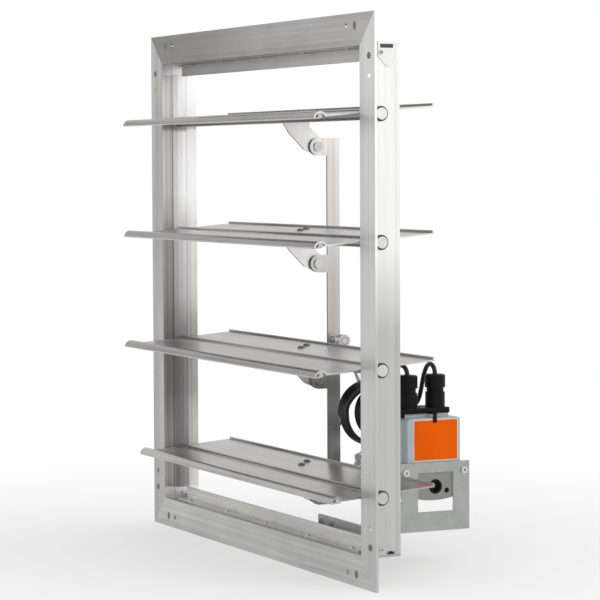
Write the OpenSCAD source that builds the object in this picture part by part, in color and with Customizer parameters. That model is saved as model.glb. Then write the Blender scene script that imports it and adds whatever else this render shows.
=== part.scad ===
// Backdraft damper: a flanged frame with four blades in a parallel linkage,
// driven by a small rotary actuator behind the frame. Lengths in millimetres.
// X runs along the blades, Y from the flange face to the rear, Z up.
// The origin is the centre of the flange face. The blades are shown almost open.

/* [Frame] */
// Clear width and height between the inner faces of the frame
opening = 596.9; // [594:0.1:612]
// Thickness of the frame extrusions
frame_wall = 3.175; // [2.6:0.025:4]
// Width of the front flange, from the inner face outward
flange_width = 38.1; // [34:0.1:50]
// Depth of the frame from front to back
frame_depth = 50.8; // [48:0.1:60]
// Distance from the flange edge to the bolt line
bolt_edge = 14.4; // [12:0.1:17]
// Distance of the mounting holes from the middle of each side
bolt_from_middle = 263.5; // [240:0.5:272]
// Diameter of the mounting holes
bolt_hole = 6.6; // [4:0.1:8]
// Distance of the corner keys from the middle of each side
key_from_middle = 285.75; // [282:0.25:290]
// Length of a corner key
key_length = 10; // [8:0.5:12]
// Width of a corner key
key_width = 8; // [3:0.5:9]

/* [Frame details] */
// Width of the screw port inside the header and the sill
port_width = 12; // [10:0.5:13]
// Depth of the screw port
port_depth = 3.6; // [3:0.1:3.8]
// Wall of the screw port
port_wall = 1.2; // [0.8:0.1:1.4]
// Width of the slot in the screw port
port_slot = 5; // [3:0.5:7]
// Distance from the flange face to the screw port
port_start = 31.5; // [31:0.25:34]
// Height of the ribs beside the jamb seals
rib_height = 1; // [0.6:0.1:1.4]
// Thickness of those ribs
rib_wall = 1.2; // [0.8:0.1:1.6]
// Depth of the line along the outside of a jamb
line_depth = 0.3; // [0.3:0.1:1]
// Distance from the flange face to that line
line_start = 46; // [44.5:0.5:47.5]

/* [Stops and jamb seals] */
// Height of the stop angles
stop_height = 17.2; // [14:0.2:19]
// Sheet thickness of the stop angles
stop_wall = 1.6; // [1.2:0.1:1.8]
// Width of the foot of a stop angle
stop_foot = 14; // [11:0.5:15]
// Distance of the ends of a stop angle from the jambs
stop_end_gap = 26; // [10:0.5:40]
// Distance from the flange face to the header stop
header_stop_start = 18.8; // [17:0.1:18.9]
// Distance from the flange face to the sill stop
sill_stop_start = 22.6; // [22.5:0.1:24]
// Thickness of the gasket on the header stop
gasket_thickness = 1.3; // [0.8:0.1:1.4]
// Width of a jamb seal
seal_width = 19.6; // [18:0.2:21]
// Thickness of a jamb seal at its crown
seal_crown = 1.7; // [1.2:0.1:1.9]
// Thickness of a jamb seal at its edges
seal_edge = 0.7; // [0.5:0.1:1]
// Distance of the ends of a jamb seal from header and sill
seal_end_gap = 13.8; // [8:0.2:18]

/* [Blades] */
// Angle of the blades above the level, as shown
blade_tilt = 4.6; // [3:0.1:6]
// Distance from the flange face to the blade axles
axle_depth = 25.4; // [25.3:0.1:26]
// Gap between a blade end and the jamb
blade_end_gap = 2.45; // [2.2:0.05:4]
// Thickness of a blade
blade_thickness = 2; // [1.4:0.1:2.4]
// Height of the blade's underside above the axle
blade_rise = 2; // [1.6:0.1:2.4]
// Length of a blade behind its axle
rear_reach = 74.6; // [70:0.1:74.8]
// Distance between the top blade's rear edge and the header when shut
header_gap = 4.45; // [4.3:0.05:6]
// Length of the bottom blade in front of its axle
sill_reach = 63.4; // [58:0.1:64]
// Distance between the bottom blade's front edge and the sill when shut
sill_gap = 3.85; // [3.6:0.05:5]
// Length by which two shut blades overlap
blade_overlap = 8.8; // [7.5:0.1:10]
// Height of the upturned rear lip above the blade's underside
lip_height = 5; // [3.5:0.1:5.2]
// Outer radius of the front bead
bead_radius = 9; // [8:0.1:9.4]
// Wall of the front bead
bead_wall = 2.2; // [1.6:0.1:2.6]
// Depth of the bead's centre below the blade's underside
bead_sink = 2.5; // [2:0.1:3.5]
// Outer radius of the axle boss
boss_radius = 7; // [6.6:0.1:8]
// Radius of the seal cord in the bead
cord_radius = 3; // [2:0.1:3.1]
// Thickness of the seal flap under the nose
flap_thickness = 1.7; // [1:0.1:1.9]

/* [Axles and bearings] */
// Radius of the stub axles
axle_radius = 5.5; // [4.5:0.1:5.6]
// Running clearance around the stub axles
axle_clearance = 0.08; // [0.05:0.01:0.1]
// Length of a stub axle inside the blade
axle_grip = 40; // [25:1:80]
// Outer radius of a bearing sleeve
bearing_radius = 7.9; // [7.4:0.1:8]
// Radius of a bearing flange
bearing_flange = 8.9; // [8.6:0.1:11]
// Thickness of a bearing flange
bearing_flange_thickness = 2.2; // [1.5:0.1:3]
// Radius of a stub axle's head
axle_head = 7; // [6.2:0.1:8]
// Thickness of a stub axle's head
axle_head_thickness = 1.5; // [1:0.1:2.5]
// Free gap between pieces that move past each other
free_gap = 0.35; // [0.3:0.01:0.5]

/* [Linkage] */
// Distance from a blade's rear edge to its arm's pivot, along the blade
pivot_inset = 12.1; // [11:0.1:13.6]
// Distance from the axle down to the arm's pivot, square to the blade
arm_drop = 41.35; // [40:0.25:43]
// Sheet thickness of the arms
arm_thickness = 3; // [2:0.25:3.5]
// Radius of the arm's round end
arm_end = 11; // [9:0.25:11.5]
// Width of an arm's foot across the blade
foot_width = 20; // [17:0.5:24]
// Length of an arm's foot along the blade
foot_length = 15; // [13:0.5:16]
// Radius of the arm screws' heads
arm_screw_head = 4.6; // [4:0.1:6]
// Height of the arm screws' heads
arm_screw_rise = 2.6; // [2:0.1:3.4]
// Radius of the arm screws
arm_screw = 2.4; // [1.8:0.1:2.6]
// Thickness of the tie bar
bar_thickness = 3; // [2:0.25:4]
// Width of the tie bar
bar_width = 17.5; // [14:0.25:20]
// Distance from the pivots to the tie bar's front edge
bar_behind = 12.8; // [12.3:0.1:15]
// Distance of the tie bar from the middle of the damper
bar_side = 1; // [0:0.5:6]
// Radius of the tie bar's ears
ear_radius = 11.3; // [9:0.1:12]
// Gap between an ear and its arm
link_gap = 1; // [0.9:0.05:1.5]
// Radius of the pivot pins
pin_radius = 4; // [3:0.1:4.5]
// Radius of the pivot pins' heads
pin_head = 6.3; // [5.6:0.1:7]
// Thickness of the pivot pins' heads
pin_head_thickness = 2.4; // [1.5:0.1:3]

/* [Rod and crank] */
// Distance of the hub behind the blades' rear reach
hub_clearance = 53.3; // [52:0.1:57]
// Depth of the hub below the lowest axle
hub_drop = 5.2; // [2:0.1:8]
// Height of the upper stud above the third pivot
stud_rise = 52.2; // [46:0.2:58]
// Distance from the tie bar to the middle of the upper ball
upper_ball_side = 25; // [22:0.5:26]
// Distance from the crank to the middle of the lower ball
lower_ball_side = 23; // [20:0.5:24]
// Radius of the balls
ball_radius = 5; // [4.5:0.1:5.4]
// Radius of the ball studs
stud_radius = 2.5; // [2:0.1:3]
// Radius of the rod ends
rod_end_radius = 8; // [7.4:0.1:9]
// Width of the rod ends
rod_end_width = 12; // [11:0.5:14]
// Length of the rod ends' necks
neck_length = 20; // [16:0.5:26]
// Radius of the rod ends' necks
neck_radius = 4.2; // [3.6:0.1:5]
// Radius of the rod
rod_radius = 2.6; // [2.2:0.1:3.2]
// Width across the corners of the nuts
nut_size = 11; // [9.6:0.2:12]
// Thickness of the nuts
nut_thickness = 4; // [3:0.2:5]
// Distance of the crank's left face from the middle of the damper
crank_side = 18; // [17:0.5:20]
// Sheet thickness of the crank
crank_thickness = 4; // [3:0.25:5]
// Radius of the crank's hub end
crank_hub = 17; // [16:0.5:19]
// Radius of the crank's outer end
crank_tip = 8; // [7:0.5:10]
// Radius of the wire of the U-bolt
wire_radius = 2.5; // [2:0.1:2.8]
// Distance from the hub to the crank's upturned tab
tab_distance = 19; // [18:0.5:24]
// Radius of the crank shaft
shaft_radius = 6.35; // [5:0.05:6.6]
// Distance of the shaft's free end from the crank
shaft_overhang = 6; // [2:0.5:7]

/* [Actuator] */
// Thickness of the actuator
case_thickness = 60; // [52:0.5:70]
// Distance from the middle of the damper to the actuator's right face
case_side = 199.7; // [190:0.1:215]
// Width of the actuator
case_width = 73.3; // [70:0.1:80]
// Distance from the hub to the actuator's front side
case_front = 38.8; // [37:0.1:41]
// Height of the actuator's top above the hub
case_top = 85; // [84:0.1:88]
// Depth of the actuator's rounded bottom below the hub
case_bottom = 16.9; // [15:0.1:19]
// Radius of the rounded bottom
case_arc = 116.4; // [90:0.5:150]
// Radius of the actuator's upright edges
case_corner = 4; // [2:0.5:8]
// Thickness of the actuator's cover
cover_thickness = 21; // [16:0.5:26]
// Outer radius of the drive sleeve
sleeve_radius = 9; // [8:0.1:10]
// Length by which the drive sleeve stands out on the left
sleeve_out = 2; // [1:0.1:4]
// Length by which the shaft stops short inside the sleeve
shaft_short = 15; // [5:0.5:25]
// Diameter of the small hole in the cover
service_hole = 6.6; // [3:0.1:7]

/* [Cap, glands and cables] */
// Length of the black cap across the actuator
cap_length = 38; // [37:0.5:46]
// Width of the black cap
cap_width = 69; // [68.6:0.1:76]
// Height of the black cap
cap_height = 6.7; // [5.5:0.1:9]
// Length of the cap's latch down the cover
latch_length = 10; // [7:0.5:12]
// Width of the cap's latch
latch_width = 5; // [3:0.5:8]
// Distance between the two glands
gland_spacing = 39; // [37:0.5:39]
// Radius of the gland bodies
gland_radius = 12.25; // [11.5:0.25:13]
// Height of the gland bodies
gland_height = 18.5; // [16:0.5:22]
// Radius of the gland caps
gland_cap = 12.75; // [11.5:0.25:13.5]
// Height of the gland caps
gland_cap_height = 16; // [14:0.5:20]
// Depth of the mouth in which a gland cap holds its cable
gland_mouth = 6; // [4:0.5:8]
// Diameter of the cables
cable = 5.8; // [5:0.1:5.8]
// Radius of the left cable's coil
outer_coil = 39; // [38:0.5:40]
// Radius of the right cable's coil
inner_coil = 25; // [24:0.5:26]
// Distance from one loop to the next
coil_pitch = 6.5; // [6.4:0.1:7]
// Width of the cable ties
tie_width = 4; // [3:0.2:5]
// Thickness of the cable ties
tie_thickness = 1.3; // [1:0.1:1.6]

/* [Bracket] */
// Sheet thickness of the bracket
bracket_wall = 3; // [2:0.25:3.5]
// Distance of the bracket's window from its edges, front and rear
window_frame = 22; // [18:0.5:24]
// Height of the bracket's window
window_height = 48.5; // [42:0.5:50]
// Height of the bracket's foot at the sill
foot_height = 20; // [18:0.5:24]
// Length of the bracket's foot along the sill
foot_run = 123; // [110:1:140]
// Radius of the bracket screws
bracket_screw = 2.4; // [1.8:0.1:2.6]
// Radius of the bracket screws' heads
bracket_screw_head = 4.4; // [3.8:0.1:5]
// Height of the bracket screws' heads
bracket_screw_rise = 2.4; // [1.8:0.1:3]

/* [Shown piece] */
// Piece to show, or all

/* [Hidden] */

$fn = 64;
// One length by which cutters run past what they cut
overrun = 1;

// Frame
inside = opening / 2;
outside = inside + frame_wall;
flange_edge = inside + flange_width;
bolt_line = flange_edge - bolt_edge;
rib_shift = 0.4;
seal_start = axle_depth - seal_width / 2 + rib_shift;
port_notch = 0.2;
seal_hole_gap = 1;
clip_wall = 1.6;
clip_front = 21.9;
clip_rear = 43.5;
clip_drop = 28;
clip_run = 26;
clip_screw_radius = 2;
clip_screw_head = 2.8;
clip_screw_rise = 1.2;
clip_screw_inset = 11;
corner_screw_depth = 25.6;
low_screw_rise = 6;
clip_notch_start = 2.6;
clip_notch_width = 17;
clip_notch_top = 1.2;
clip_notch_height = 4.6;
// Lower edge of a clip, as shares of its depth and of its drop
clip_edge_shares = [[1, 0.72], [0.82, 0.95], [0.63, 1], [0.38, 0.86], [0, 0.54]];
rivet_radius = 1.6;
rivet_head = 3.2;
rivet_rise = 1;
// Places of the rivets, as shares of half a stop's length
rivet_shares = [-0.9, -0.45, 0, 0.45, 0.9];

// Blades
blade_half = inside - blade_end_gap;
blade_pitch = (opening - rear_reach - header_gap - sill_reach - sill_gap) / 3;
front_reach = blade_pitch - rear_reach + blade_overlap;
top_axle = inside - header_gap - rear_reach;
last_axle = top_axle - 3 * blade_pitch;

// Pivots, measured from the axle in the frame's directions
arm_reach = rear_reach - pivot_inset;
pivot_back = arm_reach * cos(blade_tilt) + arm_drop * sin(blade_tilt);
pivot_down = arm_drop * cos(blade_tilt) - arm_reach * sin(blade_tilt);
bar_right = bar_thickness - bar_side;
arm_right = -bar_side - link_gap;
washer_thickness = link_gap - free_gap;

// Arm outline, as shares of the reach (along the blade) and of the drop (square to it)
arm_front_shares = [[0.33, 0.3], [0.39, 0.49], [0.53, 0.73], [0.71, 1.05]];
arm_rear_shares = [[1.165, 0.9], [1.035, 0.64], [0.865, 0.36]];
arm_root = 12;
arm_root_inset = 4.5;
arm_root_end = arm_reach - arm_root_inset;
// Places of the two arm screws, in front of the pivot and across the blade
screw_insets = [25.9, 8.9];
screw_side = [10, -9];

// Hub and linkage rod
hub_y = axle_depth + rear_reach + hub_clearance;
hub_z = last_axle - hub_drop;
upper_ball = [bar_right + upper_ball_side, axle_depth + pivot_back + bar_behind + bar_width / 2,
    top_axle - 2 * blade_pitch - pivot_down + stud_rise];
lower_ball = [crank_side - lower_ball_side, hub_y + pivot_back, hub_z - pivot_down];
rod_vector = lower_ball - upper_ball;
rod_span = norm(rod_vector);
rod_turn = atan2(rod_vector[1], rod_vector[0]);
rod_lean = acos(rod_vector[2] / rod_span);
crank_reach = norm([pivot_back, pivot_down]);
crank_angle = -atan2(pivot_down, pivot_back);
socket_gap = 0.4;
bolt_offset = shaft_radius + wire_radius;
bolt_place = crank_side + crank_thickness + wire_radius + free_gap;
tab_rise = 12;
// Crank slot, as shares of the crank's length
slot_middle_share = 0.56;
slot_length_share = 0.5;

// Actuator
case_left = case_side - case_thickness;
cover_start = case_side - cover_thickness;
cap_inset = 8.3;
cap_shift = 2.2;
plinth_height = 4.2;
plinth_inset = 1.2;
latch_shift = 1;
latch_wall = 1.5;
gland_inset = 24;
gland_shift = 4.8;
gland_neck_height = 6;
gland_neck_inset = 1.6;
gland_bevel = 1.6;
mouth_gap = 2.3;
cap_start = case_left + cap_inset;
gland_x = cap_start + gland_inset;
gland_middle = hub_y - gland_shift;
cap_top = hub_z + case_top + plinth_height + cap_height;
cap_front = gland_middle - cap_width / 2 - cap_shift;
plinth_front = hub_y - case_front + case_corner;
plinth_rear = cap_front + cap_width - plinth_inset;
gland_neck_top = cap_top + gland_height + gland_neck_height;
cable_base = gland_neck_top + gland_cap_height - gland_mouth;
service_y = 15.8;
service_z = -5.4;
ear_length = 8;
ear_height = 12;
ear_side = 12;
ear_z = 18.9;
// Bracket plate, measured from the hub and the actuator's sides
bracket_above_ears = 11.5;
bracket_below_hub = 54.6;
bracket_past_front = 9;
bracket_past_rear = 11.6;
window_below_ears = 1;
slope_rise = 38;
foot_screw_rise = 11.7;
foot_screw_insets = [109, 79];

// Coils around a level middle line
coil_shift = 17.3;
coil_rise = 80.4;
outer_offset = 103;
inner_offset = 100;
coil_y = hub_y - coil_shift;
coil_z = hub_z + coil_rise;
outer_start = gland_x - outer_offset;
inner_start = gland_x - inner_offset;
outer_turns = 3;
inner_turns = 4;
loop_rings = 24;
lead_sides = 8;
coil_sides = 6;
cable_radius = cable / 2;
tie_slack = 0.4;
tie_lock = 6.4;

// Routes of the free leads, measured from the floor of the gland cap's mouth
lead_left_route = [[0, 0, 0], [0, 0, 5.8], [-1.6, -0.3, 11.8], [-6, -1.2, 16.2],
    [-12, -2.7, 17.8], [-20, -4.8, 16.6], [-28.5, -7.2, 12.8], [-38, -10.4, 7.2],
    [-49.5, -14.4, 0], [-61.5, -18.8, -7.2], [-73.5, -23.3, -14.6], [-84.5, -27.2, -22.2],
    [-93.5, -30, -30], [-100, -31.6, -37.6]];
lead_right_route = [[0, 0, 0], [0, 0, 5.8], [-1.6, 0, 11.8], [-6, -0.2, 16.2],
    [-12, -0.5, 17.8], [-18.2, -0.7, 16.2], [-23.2, -0.9, 12], [-27, -1, 6.6],
    [-30.2, -1.2, 0], [-32.8, -1.3, -8], [-35.4, -1.5, -16], [-38.6, -1.9, -24],
    [-43.4, -2.5, -31], [-50.6, -3.3, -35.6], [-59.6, -4.2, -36.6], [-69, -5.1, -34.8],
    [-78.5, -5.9, -32.8], [-88, -6.5, -32.2], [-94.4, -6.8, -34], [-98.5, -6.9, -38.4]];

// Colours
mill = [0.8, 0.81, 0.82];
grey_mill = [0.66, 0.67, 0.68];
steel = [0.6, 0.61, 0.63];
dark = [0.1, 0.1, 0.11];
pale_blue = [0.78, 0.83, 0.88];
rubber_grey = [0.3, 0.31, 0.32];

function axle_z(n) = top_axle - (n - 1) * blade_pitch;
function pivot_y() = axle_depth + pivot_back;
function pivot_z(n) = axle_z(n) - pivot_down;
function reach_of(n) = n == 4 ? sill_reach : front_reach;

// Draws an outline given in X and Z, from one depth to another
module seen_from_front(start, end) {
    translate([0, end, 0])
        rotate([90, 0, 0])
            linear_extrude(end - start) children();
}

// Draws an outline given in Y and Z, from one X place to another
module seen_from_side(start, end) {
    translate([start, 0, 0])
        rotate([90, 0, 90])
            linear_extrude(end - start) children();
}

// Round bar along X
module rod_x(start, end, radius) {
    translate([start, 0, 0])
        rotate([0, 90, 0])
            cylinder(h = end - start, r = radius);
}

// Round bar along Y
module rod_y(start, end, radius) {
    translate([0, start, 0])
        rotate([-90, 0, 0])
            cylinder(h = end - start, r = radius);
}

// Slot outline, long way upright
module slot(length, width) {
    for (side = [-1, 1])
        translate([0, side * (length - width) / 2])
            circle(d = width);
    square([width, length - width], center = true);
}

// Frame

// Places the children on the top flange at both bolt or key distances
module on_strip(distance) {
    for (side = [-1, 1])
        translate([side * distance, 0, bolt_line]) children();
}

// Holes in one flange strip, for bolts and corner keys
module strip_holes(upright) {
    on_strip(bolt_from_middle) rod_y(-overrun, frame_wall + overrun, bolt_hole / 2);
    on_strip(key_from_middle)
        seen_from_front(-overrun, frame_wall + overrun)
            rotate(upright ? 0 : 90) slot(key_length, key_width);
}

module flange_strip() {
    seen_from_front(0, frame_wall)
        polygon([[-inside, inside], [inside, inside], [flange_edge, flange_edge],
            [-flange_edge, flange_edge]]);
}

// Outline of the screw port, as material below the web
module port_outline() {
    difference() {
        translate([port_start, inside - port_depth])
            square([port_width, port_depth + frame_wall / 2]);
        translate([port_start + port_wall, inside - port_depth + port_wall])
            square([port_width - 2 * port_wall, port_depth - port_wall]);
        translate([port_start + (port_width - port_slot) / 2, inside - port_depth - overrun])
            square([port_slot, 2 * port_wall + overrun]);
    }
}

module rail() {
    difference() {
        union() {
            flange_strip();
            translate([-inside, 0, inside]) cube([opening, frame_depth, frame_wall]);
            translate([-outside, frame_wall, inside])
                cube([2 * outside, frame_depth - frame_wall, frame_wall]);
            seen_from_side(-outside, outside) port_outline();
        }
        strip_holes(true);
    }
}

module header_rail() {
    color(grey_mill) rail();
}

module sill_rail() {
    color(grey_mill) mirror([0, 0, 1]) rail();
}

// Outline of a jamb web seen from above, X outward and Y to the rear
module jamb_outline() {
    difference() {
        square([frame_wall, frame_depth]);
        translate([frame_wall - line_depth, line_start])
            square([line_depth + overrun, line_depth]);
    }
    for (place = [seal_start - rib_wall, seal_start + seal_width])
        translate([-rib_height, place])
            square([rib_height + frame_wall / 2, rib_wall]);
}

module jamb() {
    difference() {
        union() {
            rotate([0, 90, 0]) flange_strip();
            translate([inside, 0, -inside])
                linear_extrude(opening) jamb_outline();
        }
        rotate([0, 90, 0]) strip_holes(true);
        for (n = [1 : 4])
            translate([0, axle_depth, axle_z(n)])
                rod_x(inside - overrun, outside + overrun, bearing_radius);
        translate([0, corner_screw_depth, low_screw_rise - inside])
            rod_x(inside - overrun, outside + overrun, clip_screw_radius);
        for (side = [0, 1])
            mirror([0, 0, side])
                translate([inside - 2 * rib_height, port_start - port_notch,
                    inside - port_depth - port_notch])
                    cube([frame_wall + 3 * rib_height, port_width + 2 * port_notch,
                        port_depth + overrun]);
    }
}

module right_jamb() {
    color(mill) jamb();
}

module left_jamb() {
    color(mill) mirror([1, 0, 0]) jamb();
}

// Stop angle at the header: foot along the web, upright leg at its rear
module stop_angle(start) {
    reach = inside - stop_end_gap;
    difference() {
        union() {
            translate([-reach, start, inside - stop_height])
                cube([2 * reach, stop_wall, stop_height]);
            translate([-reach, start + stop_wall - stop_foot, inside - stop_wall])
                cube([2 * reach, stop_foot, stop_wall]);
        }
        stop_rivet_places(start) translate([0, 0, -overrun])
            cylinder(h = stop_wall + 2 * overrun, r = rivet_radius);
    }
}

// Rivet places along the foot of a stop, on its inner face
module stop_rivet_places(start) {
    for (share = rivet_shares)
        translate([share * (inside - stop_end_gap), start + stop_wall - stop_foot / 2 - rivet_radius,
            inside - stop_wall]) children();
}

module header_stop() {
    color(mill) stop_angle(header_stop_start);
}

module sill_stop() {
    color(mill) mirror([0, 0, 1]) stop_angle(sill_stop_start);
}

module stop_rivets() {
    color(steel) {
        stop_rivet_places(header_stop_start) rivet();
        mirror([0, 0, 1]) stop_rivet_places(sill_stop_start) rivet();
    }
}

module rivet() {
    translate([0, 0, -rivet_rise]) cylinder(h = rivet_rise, r = rivet_head);
    cylinder(h = stop_wall, r = rivet_radius);
}

module header_gasket() {
    reach = inside - stop_end_gap;
    color(rubber_grey)
        translate([-reach, header_stop_start + stop_wall, inside - stop_height])
            cube([2 * reach, gasket_thickness, stop_height - 2 * stop_wall]);
}

// Crowned strip between the ribs of a jamb
module jamb_seal() {
    seal_height = opening - 2 * seal_end_gap;
    difference() {
        translate([inside, seal_start, -seal_height / 2])
            linear_extrude(seal_height)
                polygon([[0, 0], [0, seal_width], [-seal_edge, seal_width],
                    [-seal_crown, 2 * seal_width / 3], [-seal_crown, seal_width / 3],
                    [-seal_edge, 0]]);
        for (n = [1 : 4])
            translate([0, axle_depth, axle_z(n)])
                rod_x(inside - 2 * seal_crown, inside + overrun, axle_radius + seal_hole_gap);
    }
}

module right_jamb_seal() {
    color(rubber_grey) jamb_seal();
}

module left_jamb_seal() {
    color(rubber_grey) mirror([1, 0, 0]) jamb_seal();
}

// Bent plate at a top corner
module corner_clip() {
    clip_depth = clip_rear - clip_front;
    seen_from_side(outside, outside + clip_wall)
        polygon(concat([[clip_front, outside + clip_wall], [clip_rear, outside + clip_wall]],
            [for (share = clip_edge_shares)
                [clip_front + share[0] * clip_depth, outside - share[1] * clip_drop]]));
    translate([outside - clip_run, clip_front, outside])
        cube([clip_run + clip_wall / 2, clip_depth, clip_wall]);
}

module clip_screw_holes() {
    translate([0, corner_screw_depth, outside - clip_screw_inset])
        rod_x(outside - overrun, outside + clip_wall + overrun, clip_screw_radius);
}

module at_corners() {
    for (across = [0, 1])
        mirror([across, 0, 0]) children();
}

module corner_clips() {
    color(grey_mill)
        at_corners()
            difference() {
                corner_clip();
                clip_screw_holes();
                translate([outside - overrun, clip_front + clip_notch_start,
                    outside - clip_notch_top - clip_notch_height])
                    cube([clip_wall + 2 * overrun, clip_notch_width, clip_notch_height]);
            }
}

module corner_screws() {
    color(steel)
        at_corners()
            translate([0, corner_screw_depth, outside - clip_screw_inset]) {
                rod_x(outside, outside + clip_wall + clip_screw_rise / 2, clip_screw_radius);
                rod_x(outside + clip_wall, outside + clip_wall + clip_screw_rise, clip_screw_head);
            }
    color(steel)
        at_corners()
            translate([0, corner_screw_depth, low_screw_rise - inside]) {
                rod_x(inside + free_gap, outside + clip_screw_rise / 2, clip_screw_radius);
                rod_x(outside, outside + clip_screw_rise, clip_screw_head);
            }
}

module corner_keys() {
    color(dark)
        for (turn = [0, 90, 180, 270])
            rotate([0, turn, 0])
                on_strip(key_from_middle)
                    seen_from_front(0, frame_wall) slot(key_length, key_width);
}

module bearings() {
    color(steel)
        for (side = [0, 1])
            mirror([side, 0, 0])
                for (n = [1 : 4])
                    translate([0, axle_depth, axle_z(n)])
                        difference() {
                            union() {
                                rod_x(inside, outside + bearing_flange_thickness / 2, bearing_radius);
                                rod_x(outside, outside + bearing_flange_thickness, bearing_flange);
                            }
                            rod_x(inside - overrun, outside + bearing_flange_thickness + overrun,
                                axle_radius + axle_clearance);
                        }
}

// Blades

module at_blade(n) {
    translate([0, axle_depth, axle_z(n)])
        rotate([blade_tilt, 0, 0]) children();
}

// Blade outline: front to rear along the first axis, height as the second
module blade_outline(reach) {
    difference() {
        union() {
            translate([bead_radius - reach, blade_rise])
                square([rear_reach + reach - bead_radius, blade_thickness]);
            translate([rear_reach - blade_thickness, blade_rise])
                square([blade_thickness, lip_height - blade_thickness / 2]);
            translate([rear_reach - blade_thickness / 2, blade_rise + lip_height - blade_thickness / 2])
                circle(d = blade_thickness);
            translate([bead_radius - reach, blade_rise - bead_sink])
                circle(r = bead_radius);
            circle(r = boss_radius);
        }
        translate([bead_radius - reach, blade_rise - bead_sink])
            circle(r = bead_radius - bead_wall);
        translate([-reach - overrun, blade_rise - 2 * bead_radius])
            square([2 * bead_radius + 2 * overrun, 2 * bead_radius]);
        circle(r = axle_radius);
    }
}

module blade(n) {
    color(mill)
        at_blade(n)
            difference() {
                seen_from_side(-blade_half, blade_half) blade_outline(reach_of(n));
                arm_screw_places(n)
                    cylinder(h = 4 * blade_thickness, r = arm_screw, center = true);
            }
}

module blade_1() {
    blade(1);
}

module blade_2() {
    blade(2);
}

module blade_3() {
    blade(3);
}

module blade_4() {
    blade(4);
}

// Cord in the bead's mouth, with a flap under the nose
module blade_seal(n) {
    reach = reach_of(n);
    flap_start = bead_wall / 4 - reach;
    color(rubber_grey)
        at_blade(n)
            seen_from_side(-blade_half, blade_half) {
                translate([bead_radius - reach, blade_rise + cord_radius - flap_thickness])
                    circle(r = cord_radius);
                translate([flap_start, blade_rise - flap_thickness])
                    square([bead_radius, flap_thickness]);
            }
}

module blade_seal_1() {
    blade_seal(1);
}

module blade_seal_2() {
    blade_seal(2);
}

module blade_seal_3() {
    blade_seal(3);
}

module blade_seal_4() {
    blade_seal(4);
}

// Two stub axles, with heads outside the bearings
module axle(n) {
    head_start = outside + bearing_flange_thickness + free_gap;
    color(steel)
        translate([0, axle_depth, axle_z(n)])
            for (side = [0, 1])
                mirror([side, 0, 0]) {
                    rod_x(blade_half - axle_grip, head_start + axle_head_thickness / 2, axle_radius);
                    rod_x(head_start, head_start + axle_head_thickness, axle_head);
                }
}

module axle_1() {
    axle(1);
}

module axle_2() {
    axle(2);
}

module axle_3() {
    axle(3);
}

module axle_4() {
    axle(4);
}

// Linkage

// Places of the two arm screws, at the blade's top face
module arm_screw_places(n) {
    for (k = [0, 1])
        translate([screw_side[k], arm_reach - screw_insets[k], blade_rise + blade_thickness])
            children();
}

function arm_points(shares) = [for (share = shares) [share[0] * arm_reach, -share[1] * arm_drop]];

module arm(n) {
    arm_left = arm_right - arm_thickness;
    color(steel)
        at_blade(n)
            difference() {
                union() {
                    seen_from_side(arm_left, arm_right) {
                        polygon(concat([[arm_root_end, blade_rise], [arm_root, blade_rise]],
                            arm_points(arm_front_shares), [[arm_reach, -arm_drop - arm_end]],
                            arm_points(arm_rear_shares)));
                        translate([arm_reach, -arm_drop]) circle(r = arm_end);
                    }
                    translate([arm_left, arm_reach - screw_insets[0] - foot_length / 2,
                        blade_rise - arm_thickness])
                        cube([foot_width + arm_thickness, foot_length, arm_thickness]);
                    translate([arm_right - foot_width, arm_reach - screw_insets[1] - foot_length / 2,
                        blade_rise - arm_thickness])
                        cube([foot_width, foot_length, arm_thickness]);
                }
                translate([0, arm_reach, -arm_drop])
                    rod_x(arm_left - overrun, arm_right + overrun, pin_radius + axle_clearance);
                arm_screw_places(n)
                    cylinder(h = 4 * (arm_thickness + blade_thickness), r = arm_screw, center = true);
            }
}

module arm_1() {
    arm(1);
}

module arm_2() {
    arm(2);
}

module arm_3() {
    arm(3);
}

module arm_4() {
    arm(4);
}

module arm_screws(n) {
    shank = arm_thickness + blade_thickness;
    color(steel)
        at_blade(n)
            arm_screw_places(n) {
                translate([0, 0, -shank - arm_screw_rise / 2])
                    cylinder(h = shank + arm_screw_rise, r = arm_screw);
                cylinder(h = arm_screw_rise / 2, r = arm_screw_head);
                translate([0, 0, arm_screw_rise / 2])
                    cylinder(h = arm_screw_rise / 2, r1 = arm_screw_head,
                        r2 = arm_screw_head - arm_screw_rise / 2);
            }
}

module arm_screws_1() {
    arm_screws(1);
}

module arm_screws_2() {
    arm_screws(2);
}

module arm_screws_3() {
    arm_screws(3);
}

module arm_screws_4() {
    arm_screws(4);
}

module at_pivots() {
    for (n = [1 : 4])
        translate([0, pivot_y(), pivot_z(n)]) children();
}

module tie_bar() {
    color(grey_mill)
        difference() {
            seen_from_side(-bar_side, bar_right) {
                translate([pivot_y() + bar_behind, pivot_z(4) - ear_radius])
                    square([bar_width, 3 * blade_pitch + 2 * ear_radius]);
                for (n = [1 : 4])
                    translate([pivot_y(), pivot_z(n)]) {
                        circle(r = ear_radius);
                        translate([0, -ear_radius])
                            square([bar_behind + bar_width / 2, 2 * ear_radius]);
                    }
            }
            at_pivots() rod_x(-bar_side - overrun, bar_right + overrun, pin_radius);
            translate([0, upper_ball[1], upper_ball[2]])
                rod_x(-bar_side - overrun, bar_right + overrun, stud_radius);
        }
}

module pivot_pins() {
    tail_end = arm_right - arm_thickness - free_gap;
    color(steel)
        at_pivots() {
            rod_x(tail_end - pin_head_thickness / 2, bar_right + pin_head_thickness / 2, pin_radius);
            rod_x(bar_right, bar_right + pin_head_thickness, pin_head);
            rod_x(tail_end - pin_head_thickness / 2, tail_end, pin_head);
        }
}

module pivot_washers() {
    color(steel)
        at_pivots()
            difference() {
                rod_x(-bar_side - washer_thickness, -bar_side, pin_head + washer_thickness);
                rod_x(-bar_side - 2 * washer_thickness, -bar_side + overrun, pin_radius);
            }
}

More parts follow.
